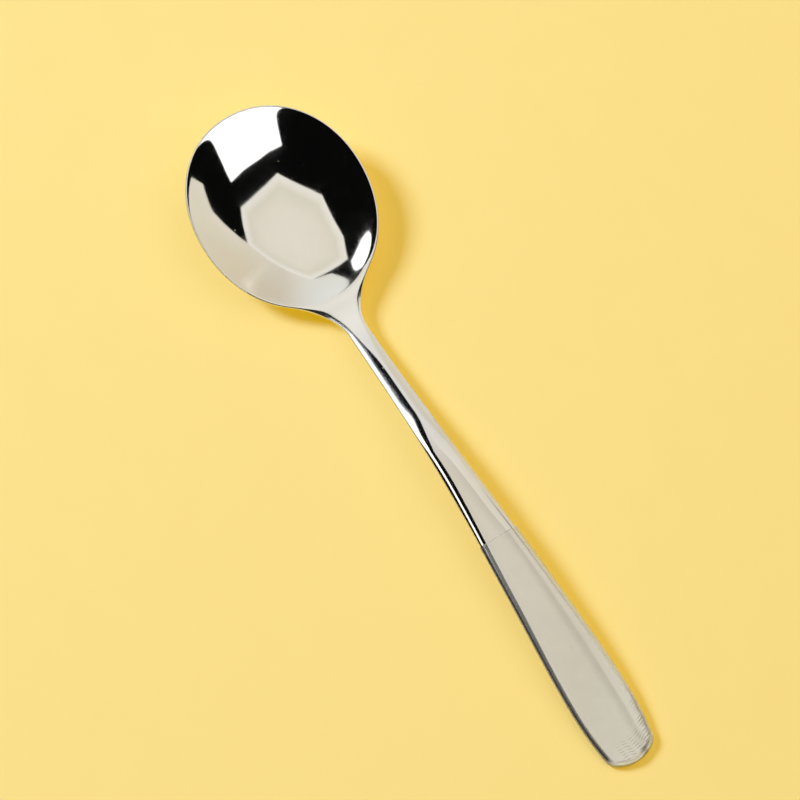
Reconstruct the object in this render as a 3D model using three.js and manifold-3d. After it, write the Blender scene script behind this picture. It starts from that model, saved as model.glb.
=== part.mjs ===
// A round-bowl soup spoon of polished stainless steel, lying on its back as it does on a table,
// with the clear film that it is sold in still shrunk on the handle. Millimetres, +Z up.
// Stations are measured along X from the front of the bowl, or back from the end of the handle.
import * as THREE from "three";
import { mergeVertices } from "three/addons/utils/BufferGeometryUtils.js";
import Module from "manifold-3d";

// Bowl
const BOWL_WIDTH = 44.9;
const BOWL_FRONT_REACH = 24.5; // front edge to the widest line
const BOWL_REAR_REACH = 25.7; // widest line to where the bowl's oval would close
const BOWL_DEPTH = 7.9; // rim to the inside of the bottom, on the widest line
const BOWL_WALL = 1.1;
const FRONT_SQUARENESS = 2.08; // 2 is a plain ellipse
const REAR_SQUARENESS = 2.03;
const OVAL_BLEND = 12; // run, each side of the widest line, that joins the front oval to the rear one
const RIM_TILT = THREE.MathUtils.degToRad(9.4); // the front lifts as the handle comes down to the table
const DISH_FADE = 0.1; // how softly the hollow runs out at the rim and into the neck
const REST_FLAT_DEPTH = 0.12; // polished off the underside, where the bowl stands

// Neck
const SHOULDER_INSET = 3.8; // the outline leaves the oval this far before its end
const SHOULDER_RUN = 13.1;
const FLARE_RUN = 6; // first part of the shoulders, where the rim turns into a bevelled edge
const NECK_RUN = 4.5; // straight stretch behind the shoulders
const NECK_WIDTH = 5.3;
const NECK_HEIGHT = 3.5; // edge line above the table, where it is lowest
const NECK_LOW_FROM_OVAL = 4;
const NECK_BELLY = 0.45; // bulge of the underside
const ROOF_FROM_NECK = 10; // behind the straight stretch, the bevels of the two sides meet in a soft roof
const ROOF_RUN = 10;
const RIDGE_ROUND = 0.3;
const STEEPENING_LEAD = 4; // the bevels start to steepen before the roof ends
const TURN_RUN = 6; // behind the roof, the top flattens and its edges turn steep and round
const ROUNDING_RUN = 5;

// Handle
const OVERALL_LENGTH = 179.5;
const ARCH_STATION = 104;
const ARCH_HEIGHT = 6.6; // edge line above the table
const ARCH_BELLY = 0.3;
const GRIP_FROM_END = 45.5;
const GRIP_WIDTH = 11.96;
const GRIP_FLARE = 0.062; // growth of the half width for each millimetre along
const WIDEST_FROM_END = 16;
const HANDLE_WIDTH = 14.96;
const ARCH_CROWN = 0.6; // bulge of the top face over its bevels
const END_CROWN = 0.2;
const CORNER_FROM_END = 2.3;
const CORNER_WIDTH = 12.3;
const CORNER_TAPER = -0.2; // change of the half width for each millimetre along
const CORNER_ROUND = 0.9;
const END_SLOPE = -0.105;

// Edges: the upright side and its rounding, measured inwards over the top face
const NECK_SIDE = 0.6;
const ARCH_SIDE = 0.3;
const END_SIDE = 1;
const RIM_ROUND = 0.42;
const SIDE_ROUND = 0.15;

// Bevel from the edge up to the top face: how steep it is, how far in it reaches and how softly it ends
const ROOF_SLOPE = 0.68;
const TURN_SLOPE = 0.87;
const HANDLE_SLOPE = 1.2;
const SHOULDER_BEVEL = 0.1;
const FLARE_BEVEL = 0.9;
const NECK_BEVEL = 1;
const ROOF_BEVEL = 2.6;
const HANDLE_BEVEL = 0.6;
const GRIP_BEVEL = 0.55;
const END_BEVEL = 0.3;
const SHOULDER_FADE = 0.1;
const FLARE_FADE = 0.25;
const NECK_FADE = 0.2;
const ROOF_FADE = 1.5;
const TURN_FADE = 1.8;
const HANDLE_FADE = 1.1;
const GRIP_FADE = 0.8;
const END_FADE = 0.3;

// Film sleeve
const FILM_LENGTH = 60.2; // square-cut mouth to the end of the handle
const FILM_CLEARANCE = 0.06;
const FILM_WALL = 0.09;

// Fineness of the facets
const EDGE_STEPS = 4;
const FACE_STEPS = 12;
const ZONE_PER_BEVEL = 1.5; // the fine steps at the edge cover the bevel and the bend behind it
const MOST_OF_WIDTH = 0.75;
const FRONT_STEPS = 12;
const REAR_STEPS = 10;
const SHOULDER_STEPS = 7;
const SHANK_STEPS = 14;
const GRIP_STEPS = 15;
const END_STEPS = 8;
const END_ZONE = 5; // last stretch of the handle, where the stations crowd together

const bowlHalf = BOWL_WIDTH / 2;
const ovalEnd = BOWL_FRONT_REACH + BOWL_REAR_REACH;
const shoulderStart = ovalEnd - SHOULDER_INSET;
const flareEnd = shoulderStart + FLARE_RUN;
const neckStart = shoulderStart + SHOULDER_RUN;
const neckEnd = neckStart + NECK_RUN;
const roofStart = neckEnd + ROOF_FROM_NECK;
const roofEnd = roofStart + ROOF_RUN;
const turnStation = roofEnd + TURN_RUN;
const roundedStation = turnStation + ROUNDING_RUN;
const gripStation = OVERALL_LENGTH - GRIP_FROM_END;
const widestStation = OVERALL_LENGTH - WIDEST_FROM_END;
const cornerStation = OVERALL_LENGTH - CORNER_FROM_END;
const filmMouth = OVERALL_LENGTH - FILM_LENGTH;
const filmGrowth = FILM_CLEARANCE + FILM_WALL;
const endArcRadius = ((CORNER_WIDTH / 2) ** 2 + CORNER_FROM_END ** 2) / (2 * CORNER_FROM_END);

// Smooth curve through stations written as [place, value, slope].
function throughStations(stations, place) {
  const last = stations.length - 2;
  let i = 0;
  while (i < last && place > stations[i + 1][0]) i += 1;
  const [x0, y0, slope0] = stations[i];
  const [x1, y1, slope1] = stations[i + 1];
  const span = x1 - x0;
  const s = THREE.MathUtils.clamp((place - x0) / span, 0, 1);
  const rise = s * s * (3 - 2 * s);
  const start = s * (1 - s) * (1 - s);
  const finish = s * s * (s - 1);
  return y0 + (y1 - y0) * rise + span * (slope0 * start + slope1 * finish);
}

// The bowl's oval: its reach and squareness pass smoothly from the front half to the rear half.
function ovalAt(x) {
  const blend = THREE.MathUtils.smoothstep(x, BOWL_FRONT_REACH - OVAL_BLEND, BOWL_FRONT_REACH + OVAL_BLEND);
  return {
    across: (x - BOWL_FRONT_REACH) / THREE.MathUtils.lerp(BOWL_FRONT_REACH, BOWL_REAR_REACH, blend),
    squareness: THREE.MathUtils.lerp(FRONT_SQUARENESS, REAR_SQUARENESS, blend),
  };
}

function ovalHalfWidth(x) {
  const { across, squareness } = ovalAt(x);
  return bowlHalf * Math.max(0, 1 - Math.abs(across) ** squareness) ** (1 / squareness);
}

const SLOPE_STEP = 1e-3;
function slopeOf(curve, x) {
  return (curve(x + SLOPE_STEP) - curve(x - SLOPE_STEP)) / (2 * SLOPE_STEP);
}

const sideStations = [
  [shoulderStart, ovalHalfWidth(shoulderStart), slopeOf(ovalHalfWidth, shoulderStart)],
  [neckStart, NECK_WIDTH / 2, 0],
  [neckEnd, NECK_WIDTH / 2, 0],
  [gripStation, GRIP_WIDTH / 2, GRIP_FLARE],
  [widestStation, HANDLE_WIDTH / 2, 0],
  [cornerStation, CORNER_WIDTH / 2, CORNER_TAPER],
  [OVERALL_LENGTH, CORNER_WIDTH / 2 + CORNER_TAPER * CORNER_FROM_END, CORNER_TAPER],
];

// Half width of the outline, grown outwards by growth. The end is an arc that meets the sides at rounded corners.
function halfWidth(x, growth) {
  if (x < shoulderStart) return ovalHalfWidth(x) + growth;
  const side = throughStations(sideStations, x) + growth;
  const fromArcCentre = x - (OVERALL_LENGTH - endArcRadius);
  if (fromArcCentre < 0) return side;
  const radius = endArcRadius + growth;
  const arc = Math.sqrt(Math.max(0, radius * radius - fromArcCentre * fromArcCentre));
  const overlap = Math.max(0, CORNER_ROUND - Math.abs(side - arc));
  return Math.max(0, Math.min(side, arc) - (overlap * overlap) / (4 * CORNER_ROUND));
}

// Height of the edge line along the outline. The rim is flat and tilted; its height puts the bottom of the
// bowl on the table, and the end of the handle comes down to the table with its film, which touches it
// where the rounding of the end starts.
const tilt = Math.tan(RIM_TILT);
const tiltDrop = (tilt * BOWL_REAR_REACH) ** 2 / (4 * BOWL_DEPTH);
const rimHeight = BOWL_DEPTH + BOWL_WALL / 2 + tiltDrop - REST_FLAT_DEPTH;
const rimHeightAt = (x) => rimHeight - tilt * (x - BOWL_FRONT_REACH);
const heightStations = [
  [0, rimHeightAt(0), -tilt],
  [shoulderStart, rimHeightAt(shoulderStart), -tilt],
  [ovalEnd + NECK_LOW_FROM_OVAL, NECK_HEIGHT, 0],
  [ARCH_STATION, ARCH_HEIGHT, 0],
  [OVERALL_LENGTH, END_SIDE / 2 + filmGrowth + END_SLOPE * SIDE_ROUND, END_SLOPE],
];

const sideHeightStations = [
  [BOWL_FRONT_REACH, BOWL_WALL, 0],
  [neckStart, NECK_SIDE, 0],
  [ARCH_STATION, ARCH_SIDE, 0],
  [OVERALL_LENGTH, END_SIDE, 0],
];

const roundStations = [
  [shoulderStart, RIM_ROUND, 0],
  [flareEnd, SIDE_ROUND, 0],
  [OVERALL_LENGTH, SIDE_ROUND, 0],
];

const crownStations = [
  [roofEnd, 0, 0],
  [ARCH_STATION, ARCH_CROWN, 0],
  [gripStation, END_CROWN, 0],
];

const bellyStations = [
  [shoulderStart, 0, 0],
  [neckEnd, NECK_BELLY, 0],
  [ARCH_STATION, ARCH_BELLY, (ARCH_BELLY - NECK_BELLY) / (ARCH_STATION - neckEnd)],
  [gripStation, 0, 0],
];

const growthPerRun = (from, to, run) => (to - from) / run;
const steepeningRun = STEEPENING_LEAD + TURN_RUN + ROUNDING_RUN;
const bevelSlopeStations = [
  [roofEnd - STEEPENING_LEAD, ROOF_SLOPE, 0],
  [turnStation, TURN_SLOPE, growthPerRun(ROOF_SLOPE, HANDLE_SLOPE, steepeningRun)],
  [roundedStation, HANDLE_SLOPE, 0],
];

const bevelWidthStations = [
  [shoulderStart, SHOULDER_BEVEL, 0],
  [flareEnd, FLARE_BEVEL, 0],
  [neckStart, NECK_BEVEL, growthPerRun(NECK_BEVEL, ROOF_BEVEL, roofStart - neckStart)],
  [roofStart, ROOF_BEVEL, 0],
  [roofEnd, ROOF_BEVEL, 0],
  [roundedStation, HANDLE_BEVEL, growthPerRun(HANDLE_BEVEL, GRIP_BEVEL, gripStation - roundedStation)],
  [gripStation, GRIP_BEVEL, growthPerRun(GRIP_BEVEL, END_BEVEL, GRIP_FROM_END)],
  [OVERALL_LENGTH, END_BEVEL, 0],
];

const bevelFadeStations = [
  [shoulderStart, SHOULDER_FADE, 0],
  [flareEnd, FLARE_FADE, 0],
  [neckStart, NECK_FADE, 0],
  [roofStart, ROOF_FADE, 0],
  [roofEnd, ROOF_FADE, 0],
  [turnStation, TURN_FADE, 0],
  [roundedStation, HANDLE_FADE, growthPerRun(HANDLE_FADE, GRIP_FADE, gripStation - roundedStation)],
  [gripStation, GRIP_FADE, growthPerRun(GRIP_FADE, END_FADE, GRIP_FROM_END)],
  [OVERALL_LENGTH, END_FADE, 0],
];

// Depth of the hollow: a paraboloid on the oval, which runs out softly at the rim and the neck.
function hollow(x, y) {
  const { across, squareness } = ovalAt(x);
  const radius = Math.abs(across) ** squareness + Math.abs(y / bowlHalf) ** squareness;
  const inside = 1 - radius ** (2 / squareness);
  return (BOWL_DEPTH * (inside + Math.hypot(inside, DISH_FADE))) / 2;
}

// Rise of the top over the edge line: a straight bevel that bends softly into the top face. Where the bevels
// of both sides are wide enough to meet, they make a roof with a rounded ridge. Lean is how much longer the
// way in is across the spoon than square to a slanted outline.
function bevelRise(x, half, lean) {
  const slope = throughStations(bevelSlopeStations, x);
  const width = throughStations(bevelWidthStations, x);
  const fade = throughStations(bevelFadeStations, x);
  const drop = (inwards) => (slope * (width - inwards + Math.hypot(width - inwards, fade))) / 2;
  const besideRidge = (y) => Math.hypot(y, RIDGE_ROUND);
  return (y) => drop(0) - drop((besideRidge(half) - besideRidge(y)) / lean);
}

// One cross-section, as a closed ring of points: over the top from the left edge to the right, and back below.
// The upright side thins to nothing over its rounding, as a quarter ellipse.
function ringAt(x, growth) {
  const half = halfWidth(x, growth);
  const lean = Math.hypot(1, slopeOf((place) => halfWidth(place, growth), x));
  const round = throughStations(roundStations, x) + growth;
  const edgeZone = round + throughStations(bevelWidthStations, x) * ZONE_PER_BEVEL;
  const reach = Math.min(2 * half * lean * edgeZone, MOST_OF_WIDTH * half * half);
  const across = [];
  for (let j = 0; j < EDGE_STEPS; j += 1) {
    const inset = 1 - Math.cos((Math.PI / 2) * (j / EDGE_STEPS));
    across.push(Math.sqrt(half * half - reach * inset));
  }
  const face = Math.sqrt(half * half - reach);
  for (let j = 0; j <= FACE_STEPS / 2; j += 1) across.push(face * (1 - (2 * j) / FACE_STEPS));
  const places = [...across.map((y) => -y), ...across.slice(0, -1).reverse()];

  const side = throughStations(sideHeightStations, x) / 2 + growth;
  const crown = throughStations(crownStations, x);
  const belly = throughStations(bellyStations, x);
  const edgeHeight = throughStations(heightStations, x);
  const rise = bevelRise(x, half, lean);
  const top = [];
  const bottom = [];
  for (const y of places) {
    const edgeDistance = (half * half - y * y) / (2 * half * lean);
    const inset = Math.min(1, edgeDistance / round);
    const swell = side * Math.sqrt(inset * (2 - inset));
    const bulge = 1 - (y / half) ** 2;
    const line = edgeHeight - hollow(x, y);
    top.push(new THREE.Vector3(x, y, line + swell + rise(y) + crown * bulge));
    bottom.push(new THREE.Vector3(x, y, line - swell - belly * bulge));
  }
  return [...top, ...bottom.slice(1, -1).reverse()];
}

function endPoint(x) {
  return new THREE.Vector3(x, 0, throughStations(heightStations, x) - hollow(x, 0));
}

// Stations from start to finish, without the first one.
function evenly(start, finish, steps) {
  return Array.from({ length: steps }, (_, i) => start + ((finish - start) * (i + 1)) / steps);
}

// Stations that crowd towards a rounded end at finish, without either end.
function crowding(start, finish, steps) {
  return Array.from({ length: steps - 1 }, (_, i) => (
    start + (finish - start) * Math.sin((Math.PI / 2) * ((i + 1) / steps))
  ));
}

const endZone = OVERALL_LENGTH - END_ZONE;
const gripStations = [filmMouth, ...evenly(filmMouth, endZone, GRIP_STEPS)];
const steelStations = [
  ...crowding(BOWL_FRONT_REACH, 0, FRONT_STEPS).reverse(),
  BOWL_FRONT_REACH,
  ...evenly(BOWL_FRONT_REACH, shoulderStart, REAR_STEPS),
  ...evenly(shoulderStart, neckStart, SHOULDER_STEPS),
  ...evenly(neckStart, filmMouth, SHANK_STEPS).slice(0, -1),
  ...gripStations,
  ...crowding(endZone, OVERALL_LENGTH, END_STEPS),
];

// Collects rings and end points into one closed surface, wound so that its faces point outwards.
class Skin {
  constructor() {
    this.points = [];
    this.triangles = [];
  }

  add(points) {
    const first = this.points.length;
    this.points.push(...points);
    return points.map((_, i) => first + i);
  }

  // Joins two rings, the second further along X, with the outside seen from outside the ring.
  join(near, far) {
    for (let i = 0; i < near.length; i += 1) {
      const next = (i + 1) % near.length;
      this.triangles.push(near[i], far[i], far[next]);
      this.triangles.push(near[i], far[next], near[next]);
    }
  }

  // Closes a ring to a point further along X.
  closeAhead(ring, point) {
    for (let i = 0; i < ring.length; i += 1) this.triangles.push(ring[i], point, ring[(i + 1) % ring.length]);
  }

  // Closes a ring to a point behind it.
  closeBehind(ring, point) {
    for (let i = 0; i < ring.length; i += 1) this.triangles.push(ring[i], ring[(i + 1) % ring.length], point);
  }

  geometry() {
    const geometry = new THREE.BufferGeometry();
    const coordinates = this.points.flatMap((point) => point.toArray());
    geometry.setAttribute("position", new THREE.Float32BufferAttribute(coordinates, 3));
    geometry.setIndex(this.triangles);
    geometry.computeVertexNormals();
    return geometry;
  }
}

function steelGeometry() {
  const skin = new Skin();
  const rings = steelStations.map((x) => skin.add(ringAt(x, 0)));
  const [front] = skin.add([endPoint(0)]);
  const [end] = skin.add([endPoint(OVERALL_LENGTH)]);
  skin.closeBehind(rings[0], front);
  for (let i = 1; i < rings.length; i += 1) skin.join(rings[i - 1], rings[i]);
  skin.closeAhead(rings[rings.length - 1], end);
  return skin.geometry();
}

// The sleeve is a bag over the end of the handle: an outer skin, an inner one turned the other way,
// and a square-cut lip between them at the mouth.
function filmGeometry() {
  const skin = new Skin();
  const layer = (growth) => {
    const stations = [...gripStations, ...crowding(endZone, OVERALL_LENGTH + growth, END_STEPS)];
    const rings = stations.map((x) => skin.add(ringAt(x, growth)));
    const [end] = skin.add([endPoint(OVERALL_LENGTH).setX(OVERALL_LENGTH + growth)]);
    return { rings, end };
  };
  const outer = layer(filmGrowth);
  const inner = layer(FILM_CLEARANCE);
  for (let i = 1; i < outer.rings.length; i += 1) {
    skin.join(outer.rings[i - 1], outer.rings[i]);
    skin.join(inner.rings[i], inner.rings[i - 1]);
  }
  skin.closeAhead(outer.rings[outer.rings.length - 1], outer.end);
  skin.closeBehind(inner.rings[inner.rings.length - 1], inner.end);
  skin.join(inner.rings[0], outer.rings[0]);
  return skin.geometry();
}

const wasm = await Module();
wasm.setup();

function toSolid(geometry) {
  const bare = geometry.clone();
  bare.deleteAttribute("normal");
  bare.deleteAttribute("uv");
  const merged = mergeVertices(bare);
  return new wasm.Manifold(new wasm.Mesh({
    numProp: 3,
    vertProperties: new Float32Array(merged.attributes.position.array),
    triVerts: new Uint32Array(merged.index.array),
  }));
}

function toGeometry(solid) {
  const mesh = solid.getMesh();
  const geometry = new THREE.BufferGeometry();
  geometry.setAttribute("position", new THREE.Float32BufferAttribute(mesh.vertProperties, mesh.numProp));
  geometry.setIndex(new THREE.Uint32BufferAttribute(mesh.triVerts, 1));
  geometry.computeVertexNormals();
  return geometry;
}

// Takes off what the rounded underside of the bowl would push through the table, which leaves its resting flat.
function restingOnTable(geometry) {
  const slab = new THREE.BoxGeometry(BOWL_WIDTH, BOWL_WIDTH, BOWL_DEPTH);
  slab.translate(BOWL_FRONT_REACH, 0, -BOWL_DEPTH / 2);
  return toGeometry(toSolid(geometry).subtract(toSolid(slab)));
}

const steel = new THREE.MeshStandardMaterial({ color: 0xc9c7c2, roughness: 0.08, metalness: 1 });
const clearFilm = new THREE.MeshStandardMaterial({
  color: 0xe9e7e0,
  roughness: 0.28,
  metalness: 0,
  transparent: true,
  opacity: 0.3,
});

const spoon = new THREE.Mesh(restingOnTable(steelGeometry()), steel);
spoon.name = "spoon";

const filmSleeve = new THREE.Mesh(filmGeometry(), clearFilm);
filmSleeve.name = "film_sleeve";

const part = new THREE.Group();
part.add(spoon, filmSleeve);
part.position.x = -(OVERALL_LENGTH + filmGrowth) / 2;

export default part;
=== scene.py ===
# %% [markdown]
# A soup spoon lies on a table. It is one stamped piece of mirror-polished stainless steel, and the outer
# third of its handle still wears the clear film that it is sold in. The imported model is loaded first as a
# fixed frame: it gives the true places and sizes in metres, and every surface below is fitted to it.

# %% Load the frame
import bpy
import numpy as np
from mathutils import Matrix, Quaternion, Vector


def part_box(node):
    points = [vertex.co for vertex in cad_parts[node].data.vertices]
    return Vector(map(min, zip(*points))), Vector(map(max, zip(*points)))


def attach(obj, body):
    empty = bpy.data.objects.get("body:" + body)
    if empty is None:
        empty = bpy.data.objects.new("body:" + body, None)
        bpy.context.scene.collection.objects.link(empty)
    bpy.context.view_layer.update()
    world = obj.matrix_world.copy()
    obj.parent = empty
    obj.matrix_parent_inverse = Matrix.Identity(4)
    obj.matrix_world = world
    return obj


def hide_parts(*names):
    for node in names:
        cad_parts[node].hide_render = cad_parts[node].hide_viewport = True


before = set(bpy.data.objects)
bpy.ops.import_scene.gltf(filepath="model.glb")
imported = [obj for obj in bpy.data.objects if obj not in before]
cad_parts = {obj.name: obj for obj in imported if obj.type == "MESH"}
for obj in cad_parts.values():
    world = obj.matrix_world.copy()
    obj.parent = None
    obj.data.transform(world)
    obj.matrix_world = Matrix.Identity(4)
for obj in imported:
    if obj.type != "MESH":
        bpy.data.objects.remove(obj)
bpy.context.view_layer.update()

MM = 0.001
steel_low, steel_high = (np.array(corner, float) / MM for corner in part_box("spoon"))
film_low, film_high = (np.array(corner, float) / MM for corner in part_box("film_sleeve"))
print("steel, mm:", np.round(steel_high - steel_low, 2), "film, mm:", np.round(film_high - film_low, 2))

# %% [markdown]
# The camera comes first, because it decides how large every detail is in the picture. It stands high over
# the spoon and is turned, so that the spoon runs from the upper left to the lower right. A long lens keeps
# the bowl round. It could be placed by eye; here it is given as a place, a point that it looks at on the
# table and a turn about its own line of sight, which were fitted to the outline of the spoon.

# %% Camera
CAMERA_PLACE = Vector((0.11257, -0.18057, 0.57635))
CAMERA_LOOKS_AT = Vector((-0.01159, 0.00035, 0))
CAMERA_TURN = np.radians(23.91)
CAMERA_LENS = 117

camera = bpy.data.objects.new("camera", bpy.data.cameras.new("camera"))
camera.data.lens = CAMERA_LENS
camera.data.clip_start = 0.01
camera.location = CAMERA_PLACE
camera.rotation_mode = "QUATERNION"
sight = (CAMERA_LOOKS_AT - CAMERA_PLACE).to_track_quat("-Z", "Y")
camera.rotation_quaternion = sight @ Quaternion((0, 0, 1), CAMERA_TURN)
bpy.context.collection.objects.link(camera)
bpy.context.scene.camera = camera
bpy.context.scene.view_settings.view_transform = "Standard"
print("camera stands", round((CAMERA_LOOKS_AT - CAMERA_PLACE).length, 3), "m from the table point")

# %% [markdown]
# The outline of the spoon, seen from above. The bowl is an oval, a little squarer at the front. The sides
# leave the oval at the shoulders, draw in to a narrow neck, and widen slowly to the end of the handle. A
# designer draws such a line through a few stations, each with a width and a slope, so that is how it is
# written here. Lengths are in millimetres along the spoon, from the front of the bowl.

# %% Smooth curves through stations
def through_stations(stations, x):
    """Curve through (place, value, slope): with s the share of the way between two stations, the value
    rises by s*s*(3-2s), and the slopes come in by s(1-s)^2 and s^2(s-1) times the distance."""
    place, value, slope = np.array(stations, float).T
    i = np.clip(np.searchsorted(place, x) - 1, 0, len(place) - 2)
    span = place[i + 1] - place[i]
    s = np.clip((x - place[i]) / span, 0, 1)
    rise = value[i] + (value[i + 1] - value[i]) * s * s * (3 - 2 * s)
    return rise + span * (slope[i] * s * (1 - s) ** 2 + slope[i + 1] * s * s * (s - 1))


def smooth_step(x, low, high):
    """Goes from 0 at low to 1 at high as s*s*(3-2s)."""
    s = np.clip((x - low) / (high - low), 0, 1)
    return s * s * (3 - 2 * s)


def slope_of(curve, x, step=1e-3):
    """Slope of a curve by the difference over a short step."""
    return (curve(x + step) - curve(x - step)) / (2 * step)


# %% Outline of the bowl and the handle
LENGTH = steel_high[0] - steel_low[0]
BOWL_HALF = (steel_high[1] - steel_low[1]) / 2
FRONT_REACH = 24.5
REAR_REACH = 25.7
FRONT_SQUARENESS = 2.08
REAR_SQUARENESS = 2.03
OVAL_BLEND = 12
OVAL_END = FRONT_REACH + REAR_REACH
SHOULDER = OVAL_END - 3.8
FLARE_END = SHOULDER + 6
NECK_START = SHOULDER + 13.1
NECK_END = NECK_START + 4.5
NECK_HALF = 2.65
GRIP = LENGTH - 45.5
GRIP_HALF = 5.98
GRIP_FLARE = 0.062
WIDEST = LENGTH - 16
WIDEST_HALF = 7.48
CORNER = LENGTH - 2.3
CORNER_HALF = 6.15
CORNER_TAPER = -0.2
CORNER_ROUND = 0.9
END_ARC = (CORNER_HALF ** 2 + (LENGTH - CORNER) ** 2) / (2 * (LENGTH - CORNER))
NO_LIMIT = 1e3


def oval_at(x):
    """Share of the reach that x stands from the widest line, and the squareness of the oval there."""
    blend = smooth_step(x, FRONT_REACH - OVAL_BLEND, FRONT_REACH + OVAL_BLEND)
    reach = FRONT_REACH + (REAR_REACH - FRONT_REACH) * blend
    return (x - FRONT_REACH) / reach, FRONT_SQUARENESS + (REAR_SQUARENESS - FRONT_SQUARENESS) * blend


def oval_half_width(x):
    """Half width of a super-ellipse: the half bowl times (1 - |u|^n)^(1/n)."""
    across, squareness = oval_at(x)
    return BOWL_HALF * np.maximum(0, 1 - np.abs(across) ** squareness) ** (1 / squareness)


SIDES = [
    (SHOULDER, oval_half_width(SHOULDER), slope_of(oval_half_width, SHOULDER)),
    (NECK_START, NECK_HALF, 0),
    (NECK_END, NECK_HALF, 0),
    (GRIP, GRIP_HALF, GRIP_FLARE),
    (WIDEST, WIDEST_HALF, 0),
    (CORNER, CORNER_HALF, CORNER_TAPER),
    (LENGTH, CORNER_HALF + CORNER_TAPER * (LENGTH - CORNER), CORNER_TAPER),
]


def half_width(x, growth=0.0):
    """Oval in front of the shoulders and station curve behind them. At the end a shallow arc crosses the
    sides, and the smaller of the two is eased by overlap^2 / (4 round), which rounds the corners."""
    side = through_stations(SIDES, x) + growth
    from_centre = x - (LENGTH - END_ARC)
    arc = np.sqrt(np.maximum(0, (END_ARC + growth) ** 2 - from_centre ** 2))
    arc = np.where(from_centre < 0, NO_LIMIT, arc)
    overlap = np.maximum(0, CORNER_ROUND - np.abs(side - arc))
    handle = np.maximum(0, np.minimum(side, arc) - overlap ** 2 / (4 * CORNER_ROUND))
    return np.where(x < SHOULDER, oval_half_width(np.minimum(x, OVAL_END)) + growth, handle)


widths = 2 * half_width(np.array([FRONT_REACH, NECK_END, WIDEST]))
print("widths at bowl, neck and handle, mm:", np.round(widths, 2))

# %% [markdown]
# Seen from the side, the rim of the bowl is a flat oval that tilts up at the front, because the spoon rests
# on the bottom of the bowl and on the end of its handle. The edge dips at the neck, rises to a low arch and
# comes down to the table. The hollow of the bowl is a paraboloid on the oval that runs out softly into the
# neck. Behind the bowl the top rises from the edge as a bevel: narrow and crisp at the shoulders, so wide
# at the neck that both sides meet in a soft roof, and steeper and rounder along the handle.

# %% Side profile, edges, bevel and hollow
BOWL_DEPTH = 7.9
BOWL_WALL = 1.1
RIM_TILT = np.tan(np.radians(9.4))
DISH_FADE = 0.1
REST_FLAT_DEPTH = 0.12
NECK_LOW = OVAL_END + 4
NECK_HEIGHT = 3.5
NECK_BELLY = 0.45
ARCH = 104
ARCH_HEIGHT = 6.6
ARCH_BELLY = 0.3
ROOF_START = NECK_END + 10
ROOF_END = ROOF_START + 10
STEEPENING = ROOF_END - 4
TURN = ROOF_END + 6
ROUNDED = TURN + 5
RIDGE_ROUND = 0.3
NECK_SIDE = 0.6
ARCH_SIDE = 0.3
END_SIDE = 1.0
RIM_ROUND = 0.42
SIDE_ROUND = 0.15
END_SLOPE = -0.105
ARCH_CROWN = 0.6
END_CROWN = 0.2
FILM_GROWTH = film_high[0] - steel_high[0]
FILM_CLEARANCE = 0.06
TILT_DROP = (RIM_TILT * REAR_REACH) ** 2 / (4 * BOWL_DEPTH)
RIM_HEIGHT = BOWL_DEPTH + BOWL_WALL / 2 + TILT_DROP - REST_FLAT_DEPTH

HEIGHTS = [
    (0, RIM_HEIGHT + RIM_TILT * FRONT_REACH, -RIM_TILT),
    (SHOULDER, RIM_HEIGHT - RIM_TILT * (SHOULDER - FRONT_REACH), -RIM_TILT),
    (NECK_LOW, NECK_HEIGHT, 0),
    (ARCH, ARCH_HEIGHT, 0),
    (LENGTH, END_SIDE / 2 + FILM_GROWTH + END_SLOPE * SIDE_ROUND, END_SLOPE),
]
SIDE_HEIGHTS = [
    (FRONT_REACH, BOWL_WALL, 0), (NECK_START, NECK_SIDE, 0), (ARCH, ARCH_SIDE, 0), (LENGTH, END_SIDE, 0),
]
ROUNDS = [(SHOULDER, RIM_ROUND, 0), (FLARE_END, SIDE_ROUND, 0), (LENGTH, SIDE_ROUND, 0)]
CROWNS = [(ROOF_END, 0, 0), (ARCH, ARCH_CROWN, 0), (GRIP, END_CROWN, 0)]
BELLIES = [(SHOULDER, 0, 0), (NECK_END, NECK_BELLY, 0), (ARCH, ARCH_BELLY, -0.00375), (GRIP, 0, 0)]
BEVEL_SLOPES = [(STEEPENING, 0.68, 0), (TURN, 0.87, 0.0347), (ROUNDED, 1.2, 0)]
BEVEL_WIDTHS = [
    (SHOULDER, 0.1, 0),
    (FLARE_END, 0.9, 0),
    (NECK_START, 1.0, 0.11),
    (ROOF_START, 2.6, 0),
    (ROOF_END, 2.6, 0),
    (ROUNDED, 0.6, -0.0013),
    (GRIP, 0.55, -0.0055),
    (LENGTH, 0.3, 0),
]
BEVEL_FADES = [
    (SHOULDER, 0.1, 0),
    (FLARE_END, 0.25, 0),
    (NECK_START, 0.2, 0),
    (ROOF_START, 1.5, 0),
    (ROOF_END, 1.5, 0),
    (TURN, 1.8, 0),
    (ROUNDED, 1.1, -0.0077),
    (GRIP, 0.8, -0.011),
    (LENGTH, 0.3, 0),
]


def hollow(x, y):
    """Depth times (inside + hypot(inside, fade)) / 2, where inside is 1 in the middle of the oval and 0 on
    its line; fade lets it run out softly at the rim and into the neck."""
    across, squareness = oval_at(x)
    inside = 1 - (np.abs(across) ** squareness + np.abs(y / BOWL_HALF) ** squareness) ** (2 / squareness)
    return BOWL_DEPTH * (inside + np.hypot(inside, DISH_FADE)) / 2


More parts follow.
